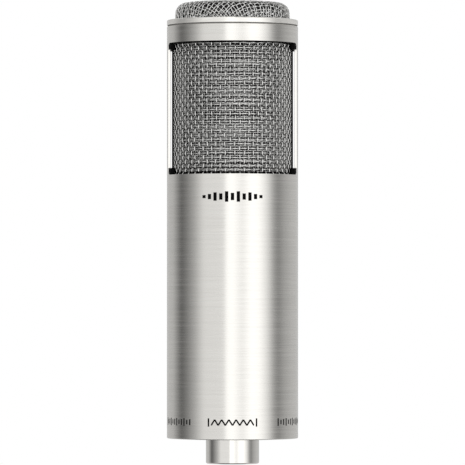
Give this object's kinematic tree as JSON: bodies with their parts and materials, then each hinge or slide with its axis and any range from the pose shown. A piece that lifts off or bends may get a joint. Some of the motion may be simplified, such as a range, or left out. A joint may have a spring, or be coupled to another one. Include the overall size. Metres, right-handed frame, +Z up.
{
  "type": "ribbon microphone",
  "caption": "Upright side-address microphone: satin metal tube with front and rear mesh windows, a mesh dome, a round connector barrel and a ribbon motor inside.",
  "frame": {"origin": "centre of the connector barrel's lower rim", "axes": "+Z up along the body's axis, -Y the front window, +X to the right seen from the front"},
  "size_m": [0.0508, 0.0508, 0.1789],
  "materials": {
    "satin_nickel": "satin nickel plate with fine brushing round the tube",
    "bright_nickel": "finely turned nickel plate",
    "screw_steel": "plain steel",
    "plated_brass": "turned brass",
    "black_plastic": "moulded, matte",
    "contact_gold": "gold plated",
    "chassis_aluminium": "turned, plain",
    "black_rubber": "moulded, matte",
    "circuit_board": "lacquered laminate",
    "screening_metal": "annealed, dull",
    "core_iron": "wound tape, lacquered",
    "copper_wire": "enamelled copper wire",
    "black_collar": "moulded, matte",
    "grille_wire": "drawn nickel-plated wire, woven",
    "lining_wire": "fine drawn wire, woven",
    "screen_cloth": "thin woven cloth",
    "soft_iron": "ground and lightly plated",
    "magnet_plating": "nickel plated",
    "clamp_insulator": "laminate",
    "clamp_brass": "machined",
    "ribbon_foil": "bare foil, corrugated",
    "lead_enamel": "enamelled wire",
    "lead_sleeve": "insulated wire"
  },
  "bodies": {
    "housing": {"barrel_nut": "plated_brass", "base_plate": "satin_nickel", "base_screws": "screw_steel", "block_screws": "screw_steel", "body_tube": "satin_nickel", "bushing_screws": "screw_steel", "clamp_block_lower": "clamp_insulator", "clamp_block_upper": "clamp_insulator", "clamp_plate_lower": "clamp_brass", "clamp_plate_upper": "clamp_brass", "clamp_screws": "screw_steel", "connector_barrel": "bright_nickel", "connector_insert": "black_plastic", "connector_pin_1": "contact_gold", "connector_pin_2": "contact_gold", "connector_pin_3": "contact_gold", "deck_screws": "screw_steel", "dome_lining": "lining_wire", "dome_mesh": "grille_wire", "dome_retainer": "black_collar", "edge_strip_left": "black_collar", "edge_strip_right": "black_collar", "grille_lining": "lining_wire", "grille_mesh": "grille_wire", "insert_screw": "screw_steel", "isolation_bushings": "black_rubber", "lead_grommets": "black_rubber", "lower_collar": "black_collar", "lower_standoffs": "plated_brass", "magnet_left": "magnet_plating", "magnet_right": "magnet_plating", "motor_deck": "chassis_aluminium", "motor_foot": "chassis_aluminium", "motor_yoke": "soft_iron", "output_leads": "lead_sleeve", "pole_piece_left": "soft_iron", "pole_piece_right": "soft_iron", "ribbon_lead_lower": "lead_enamel", "ribbon_lead_upper": "lead_enamel", "ribbon_tab_lower": "ribbon_foil", "ribbon_tab_upper": "ribbon_foil", "seam_gasket": "black_rubber", "set_screws": "screw_steel", "silk_screen": "screen_cloth", "terminal_board": "circuit_board", "top_ring": "bright_nickel", "transformer_bolt": "screw_steel", "transformer_can": "screening_metal", "transformer_core": "core_iron", "transformer_nut": "screw_steel", "transformer_pads": "black_rubber", "transformer_shelf": "chassis_aluminium", "transformer_spacer": "plated_brass", "transformer_winding": "copper_wire", "upper_collar": "black_collar", "upper_standoffs": "plated_brass", "yoke_screws": "screw_steel"},
    "ribbon": {"ribbon": "ribbon_foil"}
  },
  "joints": [
    {"name": "ribbon_bow", "type": "slide", "parent": "housing", "child": "ribbon", "axis": [0, 1, 0], "range_m": [-0.0005, 0.0005], "stiffness_N_per_m": 2}
  ]
}
